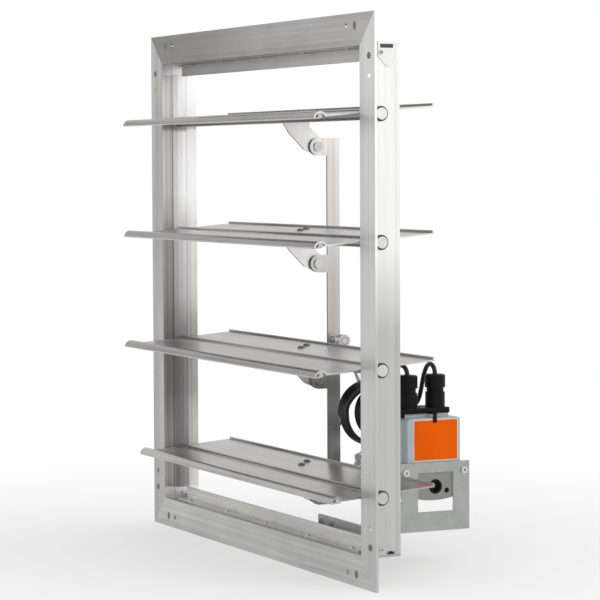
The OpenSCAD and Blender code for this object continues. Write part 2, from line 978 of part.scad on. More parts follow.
// Rod and crank

// Hexagonal nut along X with a round hole
module nut_x(start, hole) {
    translate([start, 0, 0])
        rotate([0, 90, 0])
            difference() {
                cylinder(h = nut_thickness, d = nut_size, $fn = 6);
                translate([0, 0, -overrun]) cylinder(h = nut_thickness + 2 * overrun, r = hole);
            }
}

// Puts the children's Z along the rod, starting at the upper ball
module along_rod() {
    translate(upper_ball) rotate([0, rod_lean, rod_turn]) children();
}

module ball_stud_upper() {
    color(steel)
        translate(upper_ball) {
            sphere(r = ball_radius);
            rod_x(-upper_ball_side - bar_thickness - nut_thickness, 0, stud_radius);
            rod_x(-upper_ball_side, 2 * rod_end_width / 3 - upper_ball_side, 2 * stud_radius);
        }
}

// Threaded neck of a rod end, starting in the ball's middle
module neck() {
    difference() {
        translate([0, 0, ball_radius + 2 * socket_gap])
            cylinder(h = neck_length - ball_radius - 2 * socket_gap, r = neck_radius);
        translate([0, 0, neck_length / 2 + neck_radius / 2])
            cylinder(h = neck_length, r = rod_radius);
    }
}

module rod_end_upper() {
    color(steel)
        difference() {
            union() {
                translate(upper_ball)
                    rod_x(-rod_end_width / 2, rod_end_width / 2, rod_end_radius);
                along_rod() neck();
            }
            translate(upper_ball) {
                sphere(r = ball_radius);
                rod_x(-rod_end_width, 0, stud_radius + socket_gap);
            }
        }
}

module rod_end_lower() {
    color(steel)
        difference() {
            union() {
                translate(lower_ball)
                    rod_x(-rod_end_width / 2, rod_end_width / 2, rod_end_radius);
                along_rod() translate([0, 0, rod_span]) mirror([0, 0, 1]) neck();
            }
            translate(lower_ball) {
                rotate([0, 0, 180]) sphere(r = ball_radius + socket_gap);
                rod_x(0, rod_end_width, stud_radius + socket_gap);
            }
        }
}

module linkage_rod() {
    inset = neck_length / 2 + neck_radius / 2;
    color(steel)
        along_rod()
            translate([0, 0, inset])
                cylinder(h = rod_span - 2 * inset, r = rod_radius);
}

module rod_nuts() {
    color(steel) {
        translate([0, upper_ball[1], upper_ball[2]])
            nut_x(-bar_side - nut_thickness, stud_radius);
        along_rod()
            for (place = [neck_length, rod_span - neck_length - nut_thickness])
                translate([0, 0, place])
                    difference() {
                        cylinder(h = nut_thickness, d = nut_size, $fn = 6);
                        translate([0, 0, -overrun])
                            cylinder(h = nut_thickness + 2 * overrun, r = rod_radius);
                    }
    }
}

module ball_stud_lower() {
    color(steel)
        translate(lower_ball) {
            rotate([0, 0, 180]) sphere(r = ball_radius);
            rod_x(0, lower_ball_side + crank_thickness + nut_thickness, stud_radius);
            rod_x(lower_ball_side - rod_end_width / 2, lower_ball_side, 2 * stud_radius);
        }
}

// Puts the hub at the origin with the crank along Y
module at_crank() {
    translate([0, hub_y, hub_z]) rotate([crank_angle, 0, 0]) children();
}

module crank_arm() {
    crank_right = crank_side + crank_thickness;
    color(steel)
        at_crank()
            difference() {
                union() {
                    seen_from_side(crank_side, crank_right) {
                        circle(r = crank_hub);
                        translate([-tab_distance - crank_thickness, -crank_hub])
                            square([tab_distance + crank_thickness, 2 * crank_hub]);
                        polygon([[0, -crank_hub], [crank_reach, -crank_tip],
                            [crank_reach, crank_tip], [0, crank_hub]]);
                        translate([crank_reach, 0]) circle(r = crank_tip);
                    }
                    translate([crank_side, -tab_distance - crank_thickness, -crank_hub])
                        cube([crank_thickness + tab_rise, crank_thickness, 2 * crank_hub]);
                }
                rod_x(crank_side - overrun, crank_right + overrun, shaft_radius);
                translate([0, crank_reach, 0])
                    rod_x(crank_side - overrun, crank_right + overrun, stud_radius);
                seen_from_side(crank_side - overrun, crank_right + overrun)
                    translate([crank_reach * slot_middle_share, 0])
                        rotate(90) slot(crank_reach * slot_length_share, 2 * stud_radius + free_gap);
                for (side = [-1, 1])
                    translate([bolt_place, 0, side * bolt_offset])
                        rod_y(-tab_distance - crank_thickness - overrun, -tab_distance + overrun,
                            wire_radius);
            }
}

module crank_shaft() {
    color(steel)
        translate([0, hub_y, hub_z])
            rod_x(crank_side - shaft_overhang, case_side - shaft_short, shaft_radius);
}

module crank_u_bolt() {
    legs = tab_distance + crank_thickness + nut_thickness + wire_radius;
    color(steel)
        at_crank()
            translate([bolt_place, 0, 0]) {
                rotate([90, 0, 90])
                    rotate([0, 0, -90])
                        rotate_extrude(angle = 180)
                            translate([bolt_offset, 0]) circle(r = wire_radius, $fn = 24);
                for (side = [-1, 1])
                    translate([0, 0, side * bolt_offset]) rod_y(-legs, 0, wire_radius);
            }
}

module crank_nuts() {
    color(steel)
        at_crank() {
            translate([0, crank_reach, 0]) nut_x(crank_side + crank_thickness, stud_radius);
            for (side = [-1, 1])
                translate([bolt_place, -tab_distance - crank_thickness, side * bolt_offset])
                    rotate([90, 0, 0])
                        difference() {
                            cylinder(h = nut_thickness, d = nut_size, $fn = 6);
                            translate([0, 0, -overrun])
                                cylinder(h = nut_thickness + 2 * overrun, r = wire_radius);
                        }
        }
}

module drive_sleeve() {
    color(dark)
        translate([0, hub_y, hub_z])
            difference() {
                rod_x(case_left - sleeve_out, case_side + free_gap, sleeve_radius);
                rod_x(case_left - sleeve_out - overrun, case_side + overrun, shaft_radius);
            }
}

// Actuator

module case_outline() {
    intersection() {
        translate([hub_y - case_front, hub_z + case_top - 2 * case_arc]) {
            translate([case_corner, 0]) square([case_width - 2 * case_corner, 2 * case_arc]);
            square([case_width, 2 * case_arc - case_corner]);
            for (place = [case_corner, case_width - case_corner])
                translate([place, 2 * case_arc - case_corner]) circle(r = case_corner);
        }
        translate([hub_y - case_front + case_width / 2, hub_z - case_bottom + case_arc])
            circle(r = case_arc, $fn = 128);
    }
}

module sleeve_bore() {
    translate([0, hub_y, hub_z])
        rod_x(case_left - overrun, case_side + overrun, sleeve_radius + axle_clearance);
}

// Raised seat of the cap on the housing's top
module plinth(start, end) {
    translate([start, plinth_front, hub_z + case_top - case_corner])
        cube([end - start, plinth_rear - plinth_front, case_corner + plinth_height]);
}

module actuator_case() {
    color(pale_blue)
        difference() {
            union() {
                seen_from_side(case_left, cover_start - free_gap) case_outline();
                plinth(cap_start + plinth_inset, cover_start - free_gap);
            }
            sleeve_bore();
        }
}

// Ears on both sides of the cover, behind the bracket
module cover_ears() {
    for (place = [hub_y - case_front - ear_length, hub_y - case_front + case_width - ear_length])
        translate([case_side - ear_side, place, hub_z + ear_z - ear_height / 2])
            cube([ear_side, 2 * ear_length, ear_height]);
}

module actuator_cover() {
    color(pale_blue)
        difference() {
            union() {
                seen_from_side(cover_start, case_side) case_outline();
                plinth(cover_start, cap_start + cap_length - plinth_inset);
                cover_ears();
            }
            sleeve_bore();
            translate([0, hub_y + service_y, hub_z + service_z])
                rod_x(cover_start + cover_thickness / 2, case_side + overrun, service_hole / 2);
            bracket_screw_places()
                rod_x(-ear_side, overrun, bracket_screw);
        }
}

module base_cap() {
    cap_base = hub_z + case_top + plinth_height;
    bridge_start = cap_start + cap_length / 2;
    latch_front = hub_y - latch_width / 2 - latch_shift;
    color(dark) {
        translate([cap_start, cap_front, cap_base])
            cube([cap_length, cap_width, cap_height]);
        translate([cap_start, cap_front, cap_base - plinth_height + free_gap])
            cube([cap_length, plinth_front - free_gap - cap_front, plinth_height]);
        translate([bridge_start, latch_front, cap_base])
            cube([case_side + latch_wall - bridge_start, latch_width, cap_height / 3]);
        translate([case_side, latch_front, cap_base - latch_length])
            cube([latch_wall, latch_width, latch_length + cap_height / 3]);
    }
}

// Places of the two screws that hold the cover to the bracket
module bracket_screw_places() {
    for (place = [hub_y - case_front - ear_length / 2,
        hub_y - case_front + case_width + ear_length / 2])
        translate([case_side, place, hub_z + ear_z]) children();
}

// Places of the two screws at the sill
module foot_screw_places() {
    for (inset = foot_screw_insets)
        translate([case_side - inset, frame_depth, foot_screw_rise - inside]) children();
}

module bracket() {
    plate_top = hub_z + ear_z + bracket_above_ears;
    plate_bottom = hub_z - bracket_below_hub;
    plate_front = hub_y - case_front - bracket_past_front;
    plate_rear = hub_y - case_front + case_width + bracket_past_rear;
    sill_top = foot_height - inside;
    window_width = plate_rear - plate_front - 2 * window_frame;
    foot_base = -inside + port_depth;
    foot_start = case_side + bracket_wall - foot_run;
    color(steel)
        difference() {
            union() {
                seen_from_side(case_side, case_side + bracket_wall)
                    polygon([[plate_front, plate_top], [plate_rear, plate_top],
                        [plate_rear, plate_bottom], [frame_depth, plate_bottom],
                        [frame_depth, sill_top], [frame_depth + foot_height, sill_top],
                        [plate_front, plate_bottom + slope_rise]]);
                translate([foot_start, frame_depth, foot_base])
                    cube([foot_run, bracket_wall, foot_height - port_depth]);
                translate([foot_start, port_start, foot_base])
                    cube([foot_run, frame_depth - port_start + bracket_wall / 2, bracket_wall / 2]);
            }
            translate([case_side - overrun, plate_front + window_frame,
                hub_z + ear_z - window_below_ears - window_height])
                cube([bracket_wall + 2 * overrun, window_width, window_height]);
            bracket_screw_places() rod_x(-overrun, bracket_wall + overrun, bracket_screw);
            foot_screw_places() rod_y(-overrun, bracket_wall + overrun, bracket_screw);
        }
}

module bracket_screws() {
    color(steel) {
        bracket_screw_places() {
            rod_x(-ear_side / 2, bracket_wall + bracket_screw_rise / 2, bracket_screw);
            rod_x(bracket_wall, bracket_wall + bracket_screw_rise, bracket_screw_head);
        }
        foot_screw_places() {
            rod_y(-bracket_screw_rise / 2, 2 * bracket_wall, bracket_screw);
            rod_y(-bracket_screw_rise, 0, bracket_screw_head);
        }
    }
}

// Glands and cables

module at_glands(level) {
    for (side = [-1, 1])
        translate([gland_x, gland_middle + side * gland_spacing / 2, level]) children();
}

module gland_bodies() {
    color(dark)
        at_glands(cap_top) {
            cylinder(h = gland_height, r = gland_radius);
            cylinder(h = gland_height + gland_neck_height, r = gland_radius - gland_neck_inset);
        }
}

module gland_caps() {
    straight = gland_cap_height - gland_bevel;
    color(dark)
        at_glands(gland_neck_top)
            difference() {
                union() {
                    cylinder(h = straight, r = gland_cap);
                    translate([0, 0, straight])
                        cylinder(h = gland_bevel, r1 = gland_cap, r2 = gland_cap - gland_bevel);
                }
                translate([0, 0, gland_cap_height - gland_mouth])
                    cylinder(h = gland_mouth + overrun, r = cable_radius + mouth_gap);
            }
}

// Tube around a route: one ring of points at each place, square to the way on
function unit(v) = v / norm(v);
function way_on(path, k, first, last) =
    k == 0 ? first : k == len(path) - 1 ? last
        : unit(unit(path[k + 1] - path[k]) + unit(path[k] - path[k - 1]));
function ring(middle, way, side_way, sides) =
    let (u = unit(side_way - way * (side_way * way)), v = cross(way, u))
    [for (j = [0 : sides - 1])
        middle + cable_radius * (u * cos(360 * j / sides) + v * sin(360 * j / sides))];
function rings(path, first, last, side_way, sides) =
    [for (k = [0 : len(path) - 1]) each ring(path[k], way_on(path, k, first, last), side_way, sides)];
function tube_sides(count, sides) =
    [for (k = [0 : count - 2]) for (j = [0 : sides - 1])
        let (a = k * sides + j, b = k * sides + (j + 1) % sides)
        each [[a, a + sides, b], [b, a + sides, b + sides]]];
function tube_ends(count, sides) =
    [for (j = [1 : sides - 2]) each [[0, j, j + 1],
        [(count - 1) * sides, (count - 1) * sides + j + 1, (count - 1) * sides + j]]];

module tube(path, first, last, side_way, sides) {
    polyhedron(points = rings(path, first, last, side_way, sides),
        faces = concat(tube_sides(len(path), sides), tube_ends(len(path), sides)));
}

// Coil around a middle line along X, going down where it starts
function coil_path(start, radius, turns, side) =
    let (count = turns * loop_rings)
    concat([[start, coil_y + side * radius, coil_z + cable]],
        [for (k = [0 : count])
            let (turn = 360 * k / loop_rings)
            [start - coil_pitch * k / loop_rings, coil_y + side * radius * cos(turn),
                coil_z - radius * sin(turn)]],
        [[start - coil_pitch * turns, coil_y + side * radius, coil_z - cable]]);

down = [0, 0, -1];
left = [-1, 0, 0];
outer_path = coil_path(outer_start, outer_coil, outer_turns, -1);
inner_path = coil_path(inner_start, inner_coil, inner_turns, 1);

// Least gap of a coil to itself, over points at least half a loop apart
function self_gap(path) = min([for (a = [0 : len(path) - 1])
    for (b = [a + loop_rings / 2 : len(path) - 1]) norm(path[a] - path[b])]) - cable;
echo(outer_gap = self_gap(outer_path), inner_gap = self_gap(inner_path));

function lead_path(route, side, coil_start) =
    let (base = [gland_x, gland_middle + side * gland_spacing / 2, cable_base])
    concat([for (place = route) base + place], [coil_start]);

module lead_left() {
    color(dark)
        tube(lead_path(lead_left_route, -1, outer_path[0]), -down, down, left + down / 100, lead_sides);
}

module lead_right() {
    color(dark)
        tube(lead_path(lead_right_route, 1, inner_path[0]), -down, down, left + down / 100, lead_sides);
}

module coil_left() {
    color(dark) tube(outer_path, down, down, left, coil_sides);
}

module coil_right() {
    color(dark) tube(inner_path, down, down, left, coil_sides);
}

// Flat band around the tops of both coils, with its lock
module cable_ties() {
    band_left = inner_start - inner_turns * coil_pitch - cable_radius - tie_slack;
    band_right = inner_start + cable_radius + tie_slack;
    band_top = coil_z + outer_coil + cable_radius + tie_slack;
    band_base = coil_z + inner_coil - cable_radius - tie_slack;
    band = [band_right - band_left, tie_width, band_top - band_base];
    color(dark) {
        difference() {
            translate([band_left - tie_thickness, coil_y - tie_width / 2, band_base - tie_thickness])
                cube(band + [2 * tie_thickness, 0, 2 * tie_thickness]);
            translate([band_left, coil_y - tie_width, band_base])
                cube([band[0], 2 * tie_width, band[2]]);
        }
        translate([band_right + tie_thickness / 2, coil_y - tie_lock / 2, band_top - tie_lock])
            cube([tie_lock - tie_thickness, tie_lock, tie_lock]);
    }
}

header_rail();
sill_rail();
left_jamb();
right_jamb();
header_stop();
header_gasket();
sill_stop();
stop_rivets();
left_jamb_seal();
right_jamb_seal();
corner_clips();
corner_screws();
corner_keys();
bearings();
blade_1();
blade_2();
blade_3();
blade_4();
blade_seal_1();
blade_seal_2();
blade_seal_3();
blade_seal_4();
axle_1();
axle_2();
axle_3();
axle_4();
arm_1();
arm_2();
arm_3();
arm_4();
arm_screws_1();
arm_screws_2();
arm_screws_3();
arm_screws_4();
tie_bar();
pivot_pins();
pivot_washers();
ball_stud_upper();
linkage_rod();
rod_end_upper();
rod_end_lower();
rod_nuts();
ball_stud_lower();
crank_arm();
crank_shaft();
crank_u_bolt();
crank_nuts();
drive_sleeve();
actuator_case();
actuator_cover();
base_cap();
bracket();
bracket_screws();
gland_bodies();
gland_caps();
lead_left();
lead_right();
coil_left();
coil_right();
cable_ties();
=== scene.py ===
import math

import bpy
from mathutils import Matrix, Vector


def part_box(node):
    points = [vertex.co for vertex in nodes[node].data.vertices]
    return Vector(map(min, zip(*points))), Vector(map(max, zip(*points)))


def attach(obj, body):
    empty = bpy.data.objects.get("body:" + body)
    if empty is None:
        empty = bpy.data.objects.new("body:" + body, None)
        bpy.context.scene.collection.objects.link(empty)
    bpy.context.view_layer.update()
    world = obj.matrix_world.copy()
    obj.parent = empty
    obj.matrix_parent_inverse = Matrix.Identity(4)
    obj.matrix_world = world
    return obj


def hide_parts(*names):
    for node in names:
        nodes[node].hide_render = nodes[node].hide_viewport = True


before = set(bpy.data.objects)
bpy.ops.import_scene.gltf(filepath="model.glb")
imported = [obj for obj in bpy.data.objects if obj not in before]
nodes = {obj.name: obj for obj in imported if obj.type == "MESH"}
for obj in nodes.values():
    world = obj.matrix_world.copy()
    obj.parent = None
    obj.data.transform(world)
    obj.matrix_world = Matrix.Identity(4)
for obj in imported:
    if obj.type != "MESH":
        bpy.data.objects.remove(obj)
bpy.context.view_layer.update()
mm = 0.001
print("frame loaded:", len(nodes), "nodes")


def linked(name, data):
    # puts new data into the scene as an object
    made = bpy.data.objects.new(name, data)
    bpy.context.scene.collection.objects.link(made)
    return made


# camera: the photograph's view of the damper's right and front sides
cameraSettings = {
    "lens": 153.64,
    "sensor": 36,
    "farthest": 60,
    "place": (2.9576, -1.3541, 0.1610),
    "yaw": 64.365,
    "pitch": -3.038,
    "roll": -0.267,
}


def placeCamera(settings):
    yaw, pitch, roll = (math.radians(settings[key]) for key in ("yaw", "pitch", "roll"))
    level = math.cos(pitch)
    ahead = Vector((-math.sin(yaw) * level, math.cos(yaw) * level, math.sin(pitch)))
    sideways = ahead.cross(Vector((0, 0, 1))).normalized()
    upright = sideways.cross(ahead)
    right = sideways * math.cos(roll) + upright * math.sin(roll)
    up = upright * math.cos(roll) - sideways * math.sin(roll)
    data = bpy.data.cameras.new("photoCamera")
    data.lens = settings["lens"]
    data.sensor_width = settings["sensor"]
    data.clip_end = settings["farthest"]
    camera = linked("photoCamera", data)
    turn = Matrix((right, up, -ahead)).transposed().to_4x4()
    camera.matrix_world = Matrix.Translation(settings["place"]) @ turn
    bpy.context.scene.camera = camera


placeCamera(cameraSettings)
print("camera placed")


# shader maths: a Wire wraps one output socket, a Shading adds nodes to one tree
class Wire:
    def __init__(self, shading, socket):
        self.shading = shading
        self.socket = socket

    def join(self, operation, first, second):
        return self.shading.node("Math", {"operation": operation}, {0: first, 1: second})

    def __add__(self, other):
        return self.join("ADD", self, other)

    def __radd__(self, other):
        return self.join("ADD", other, self)

    def __sub__(self, other):
        return self.join("SUBTRACT", self, other)

    def __rsub__(self, other):
        return self.join("SUBTRACT", other, self)

    def __mul__(self, other):
        return self.join("MULTIPLY", self, other)

    def __rmul__(self, other):
        return self.join("MULTIPLY", other, self)


# share of a face's normal along an axis, where a change starts and where it is full
faceTurns = {"facing": (0.4, 0.7), "notUp": (0.6, 0.1), "under": (0.3, -0.6), "sawn": (0.93, 0.97)}


def tinted(tone, share):
    return tuple(min(1.0, c * share) for c in tone)


class Shading:
    def __init__(self, owner):
        owner.use_nodes = True
        self.tree = owner.node_tree
        self.tree.nodes.clear()

    def feed(self, socket, value):
        if isinstance(value, Wire):
            self.tree.links.new(value.socket, socket)
        elif isinstance(value, tuple) and len(value) == 3 and socket.type == "RGBA":
            socket.default_value = (*value, 1)
        else:
            socket.default_value = value

    def node(self, kind, settings=None, sockets=None, out=0):
        made = self.tree.nodes.new("ShaderNode" + kind)
        for key, value in (settings or {}).items():
            setattr(made, key, value)
        for key, value in (sockets or {}).items():
            self.feed(made.inputs[key], value)
        return Wire(self, made.outputs[out]) if len(made.outputs) else made

    def places(self, scale):
        # cycles per metre, one number for all axes or one for each
        if not isinstance(scale, tuple):
            scale = (scale,) * 3
        spot = self.node("TexCoord", out="Object")
        return self.node("Mapping", None, {"Vector": spot, "Scale": scale})

    def noise(self, scale, detail=3.0, roughness=0.55):
        return self.node("TexNoise", None, {"Vector": self.places(scale), "Scale": 1.0,
                                            "Detail": detail, "Roughness": roughness})

    def ramp(self, value, low, high):
        return self.node("MapRange", None, {"Value": value, "From Min": low, "From Max": high})

    def blendColors(self, factor, first, second):
        return self.node("Mix", {"data_type": "RGBA"}, {0: factor, 6: first, 7: second}, out=2)

    def toned(self, factor, tone, shades):
        # between the darker and the lighter shade of one tone
        return self.blendColors(factor, *(tinted(tone, share) for share in shades))

    def scaled(self, color, amount):
        return self.node("VectorMath", {"operation": "SCALE"}, {0: color, "Scale": amount})

    def part(self, source, axis):
        return self.node("SeparateXYZ", None, {0: self.node("TexCoord", out=source)}, out=axis)

    def facing(self, axis, turn="facing"):
        # 1 on the faces that look along an axis, either way
        size = self.node("Math", {"operation": "ABSOLUTE"}, {0: self.part("Normal", axis)})
        return self.ramp(size, *faceTurns[turn])

    # painted light and shade: a share of a tone, changed in steps. A step is (change, faces,
    # range, ...), a range is (axis, start, full) in metres, and a step with several ranges acts
    # where they meet. faces is the axis that they look along, None for all, or "notUp" for all but
    # the upper ones.
    def paintedShading(self, steps):
        amount = 1.0
        for change, faces, *ranges in steps:
            step = change
            for axis, start, full in ranges:
                step = self.ramp(self.part("Object", axis), start, full) * step
            if faces == "notUp":
                step = step * self.ramp(self.part("Normal", 2), *faceTurns["notUp"])
            elif faces is not None:
                step = step * self.facing(faces)
            amount = (step + 1) * amount
        return amount


# one material: a Principled shader and its output
class Finish(Shading):
    def __init__(self, name, **fixed):
        self.material = bpy.data.materials.new(name)
        super().__init__(self.material)
        self.surface = self.node("BsdfPrincipled")
        self.output = self.node("OutputMaterial", None, {"Surface": self.surface})
        self.set(**fixed)

    def set(self, **sockets):
        inputs = self.surface.socket.node.inputs
        for socketName, value in sockets.items():
            self.feed(inputs[socketName.replace("_", " ")], value)

    def bump(self, height, strength, distance):
        self.set(Normal=self.node("Bump", None, {"Height": height, "Strength": strength,
                                                 "Distance": distance}))


# drawn metal: long die lines along one axis, bands of other shade beside them, patches and
# steps of painted light and shade
metalLooks = {
    # the frame rails are copies of one drawn aluminium, toned apart as painted light and shade: the
    # header darkest, the left jamb darker than the sill and the right jamb
    "headerMetal": {
        "tone": (0.32, 0.305, 0.295), "rough": 0.36, "along": 0, "spread": 0.30,
        # painted light and shade: darker towards the left, its faces that look along Z and Y
        # lighter towards the right
        "paintedShading": [(-0.26, None, (0, 0.3, -0.3)), (0.24, 2, (0, 0.1, 0.3)),
                 (0.31, 1, (0, -0.12, 0.02))],
    },
    "sillMetal": {
        "tone": (0.52, 0.52, 0.50), "rough": 0.36, "along": 0, "spread": 0.28,
        # painted light and shade: lighter towards the right, its upper and lower faces darker at
        # the back and lighter at the front
        "paintedShading": [(0.06, None, (0, -0.3, 0.3)), (-0.13, 2, (1, 0.030, 0.046)),
                 (0.12, 2, (1, 0.030, 0.012))],
    },
    "rightJambMetal": {
        "tone": (0.54, 0.54, 0.52), "rough": 0.36, "along": 2, "spread": 0.13,
        # painted highlight: its side faces much lighter high up, and its front faces lighter
        # towards the top
        "paintedShading": [(0.72, 0, (2, -0.035, 0.06)), (0.16, 1, (2, -0.2, 0.3))],
    },
    "clipMetal": {"tone": (0.84, 0.84, 0.82), "rough": 0.40, "along": 2, "spread": 0.08},
    "leftJambMetal": {
        "tone": (0.44, 0.42, 0.40), "rough": 0.34, "along": 2, "spread": 0.34,
        # painted light and shade: the web darker than the front flange, a painted highlight on the
        # rear lip, the side faces lighter high up and low down, painted glare at both ends and a
        # painted shadow under the top blade
        "paintedShading": [(-0.46, None, (1, 0.0034, 0.0038)), (1.35, 0, (1, 0.034, 0.037)),
                 (-0.16, 0, (1, 0.034, 0.037), (2, -0.03, -0.10)),
                 (-0.30, 0, (1, 0.0034, 0.0030)), (0.15, 0, (2, 0.05, 0.13)),
                 (1.2, 0, (2, -0.05, 0.13)), (0.8, 0, (2, -0.15, -0.21)),
                 (1.2, 0, (2, 0.283, 0.286)), (3.0, 0, (2, -0.283, -0.286)),
                 (-0.5, 0, (2, 0.206, 0.211), (2, 0.223, 0.221))],
    },
    "bladeSkin": {
        # painted light and shade: undersides darker (under), lighter towards the right, the top
        # blade darker but on its upper faces, the front beads darker, most on the lowest blade, and
        # a painted highlight on the plates near the left end of the lower blades
        "tone": (0.40, 0.385, 0.37), "rough": 0.30, "along": 0, "spread": 0.40, "under": 0.55,
        "paintedShading": [(0.08, None, (0, -0.3, 0.3)), (-0.34, "notUp", (2, 0.19, 0.20)),
                 (-0.26, None, (1, -0.043, -0.048)),
                 (0.5, 2, (0, -0.20, -0.27), (2, 0.0, -0.04), (1, 0.016, 0.008),
                  (1, -0.014, -0.004)),
                 (-0.2, None, (1, -0.043, -0.048), (2, -0.1, -0.15))],
    },
    "stopSheet": {
        "tone": (0.44, 0.425, 0.405), "rough": 0.38, "along": 0, "spread": 0.26,
        # painted light and shade: the sill stop lighter, most on its upper and lower faces, its
        # front a little darker above the lowest edge, and the header stop's front darker towards
        # the left
        "paintedShading": [(0.6, 1, (2, 0.0, -0.1)), (0.9, 2, (2, 0.0, -0.1)),
                 (-0.19, 1, (2, -0.292, -0.285), (2, 0.0, -0.1)),
                 (-0.40, 1, (0, 0.2, -0.2), (2, 0.0, 0.1))],
    },
    "barStock": {
        # painted light and shade: darker lower down, its faces that look along X lighter towards
        # the top, and its edges darker (edge)
        "tone": (0.54, 0.505, 0.485), "rough": 0.34, "along": 2, "spread": 0.24, "edge": 0.4,
        "paintedShading": [(-0.5, None, (2, -0.04, -0.24)), (0.62, 0, (2, 0.0, 0.2))],
    },
}
drawnGrain = {  # cycles per metre across and along the drawing, and the share of the shade
    "dieLines": {"across": 900.0, "along": 3.0, "detail": 2.0, "roughness": 0.55, "share": 0.2},
    "bands": {"across": 170.0, "along": 1.4, "detail": 3.0, "roughness": 0.55, "share": 0.35},
    "smears": {"across": 26.0, "along": 2.6, "detail": 5.0, "roughness": 0.62, "share": 0.3},
    "clouds": {"across": 14.0, "along": 14.0, "detail": 4.0, "roughness": 0.55, "share": 0.15},
}
drawnSurface = {"metal": 0.92, "low": 0.36, "high": 0.64, "brighter": 0.75, "smoother": 0.09,
                "smearRough": 0.10, "lineRough": 0.08, "bandHeight": 0.6, "bump": 0.10,
                "depth": 0.0002}
sawnEnd = {"dark": (0.70, 0.70, 0.68), "light": (0.84, 0.84, 0.82), "grain": 700.0, "detail": 2.0,
           "rougher": 0.12, "paintedShading": [(-0.45, None, (2, 0.02, -0.16))]}


def drawnMetal(name, tone, rough, along, spread, paintedShading=(), under=1.0, edge=1.0):
    look = drawnSurface
    finish = Finish(name, Metallic=look["metal"])
    grain = {}
    for layer, one in drawnGrain.items():
        scale = tuple(one["along"] if axis == along else one["across"] for axis in range(3))
        grain[layer] = finish.noise(scale, one["detail"], one["roughness"])
    shade = sum(grain[layer] * one["share"] for layer, one in drawnGrain.items())
    drawn = finish.toned(finish.ramp(shade, look["low"], look["high"]), tone,
                         (1 - spread, 1 + spread * look["brighter"]))
    # painted light and shade from the look's steps
    amount = finish.paintedShading(paintedShading)
    if under < 1:  # painted shade: undersides are darker
        down = finish.ramp(finish.part("Normal", 2), *faceTurns["under"])
        amount = amount * (1 - down * (1 - under))
    if edge < 1:  # painted shade: the edges, faces that do not look along X, are darker
        amount = amount * (edge + finish.facing(0) * (1 - edge))
    if isinstance(amount, Wire):
        drawn = finish.scaled(drawn, amount)
    # sawn ends stay brighter and duller than the drawn faces
    sawn = finish.facing(along, "sawn")
    saw = finish.noise(sawnEnd["grain"], sawnEnd["detail"])
    sawnTone = finish.blendColors(saw, sawnEnd["dark"], sawnEnd["light"])
    # painted shade: sawn ends darker towards the bottom
    sawnTone = finish.scaled(sawnTone, finish.paintedShading(sawnEnd["paintedShading"]))
    finish.set(Base_Color=finish.blendColors(sawn, drawn, sawnTone))
    finish.set(Roughness=(rough - look["smoother"]) + grain["smears"] * look["smearRough"]
               + grain["dieLines"] * look["lineRough"] + sawn * sawnEnd["rougher"])
    height = grain["dieLines"] + grain["bands"] * look["bandHeight"]
    finish.bump(height, look["bump"], look["depth"])
    return finish.material


# zinc plate: grainy, with faint clouds, and a spangle on hot-dipped sheet
plateLooks = {
    "zincPlate": {"tone": (0.64, 0.63, 0.61), "rough": 0.36},
    # painted shade: the edges of the arms darker than their faces (edge)
    "armSheet": {"tone": (0.82, 0.81, 0.77), "rough": 0.36, "edge": 0.35},
    "brightZinc": {"tone": (0.62, 0.62, 0.61), "rough": 0.28},
    "axleZinc": {
        "tone": (0.62, 0.62, 0.61), "rough": 0.28,
        # painted light and shade, a lit copy of brightZinc: the axle heads lighter towards the top
        # and darker towards the bottom
        "paintedShading": [(0.43, 0, (2, -0.16, 0.22)), (-0.14, 0, (2, -0.1, -0.22))],
    },
    "galvanisedSheet": {
        "tone": (0.40, 0.41, 0.39), "rough": 0.40, "spangle": 0.06,
        # painted light: faces that look along Y lighter in tone, and less metallic
        "paintedShading": [(1.35, 1)], "dull": [(-0.85, 1)],
    },
    "keySteel": {"tone": (0.16, 0.16, 0.16), "rough": 0.42},
    "screwSteel": {"tone": (0.26, 0.26, 0.25), "rough": 0.36},
}
plateSurface = {"grain": 900.0, "grainDetail": 2.0, "clouds": 60.0, "cloudDetail": 4.0,
                "spangle": 110.0, "grainShare": 0.25, "cloudShare": 0.75, "low": 0.25,
                "high": 0.75, "shades": (0.84, 1.1), "smoother": 0.06, "cloudRough": 0.12,
                "bump": 0.06, "depth": 0.0002}


def platedSteel(name, tone, rough, spangle=0.0, edge=1.0, paintedShading=(), dull=()):
    look = plateSurface
    finish = Finish(name, Metallic=1.0)
    grain = finish.noise(look["grain"], look["grainDetail"])
    clouds = finish.noise(look["clouds"], look["cloudDetail"])
    shade = grain * look["grainShare"] + clouds * look["cloudShare"]
    if spangle:
        spot = finish.places(look["spangle"])
        cells = finish.node("TexVoronoi", None, {"Vector": spot, "Scale": 1.0}, out="Color")
        split = finish.node("SeparateColor", None, {"Color": cells})
        shade = shade * (1 - spangle) + split * spangle
    plate = finish.toned(finish.ramp(shade, look["low"], look["high"]), tone, look["shades"])
    if edge < 1:  # painted shade: the edges, faces that do not look along X, are darker
        plate = finish.blendColors(finish.facing(0), tinted(tone, edge), plate)
    # painted light and shade from the look's steps
    if paintedShading:
        plate = finish.scaled(plate, finish.paintedShading(paintedShading))
    finish.set(Base_Color=plate)
    if dull:
        finish.set(Metallic=finish.paintedShading(dull))
    finish.set(Roughness=(rough - look["smoother"]) + clouds * look["cloudRough"])
    finish.bump(grain, look["bump"], look["depth"])
    return finish.material


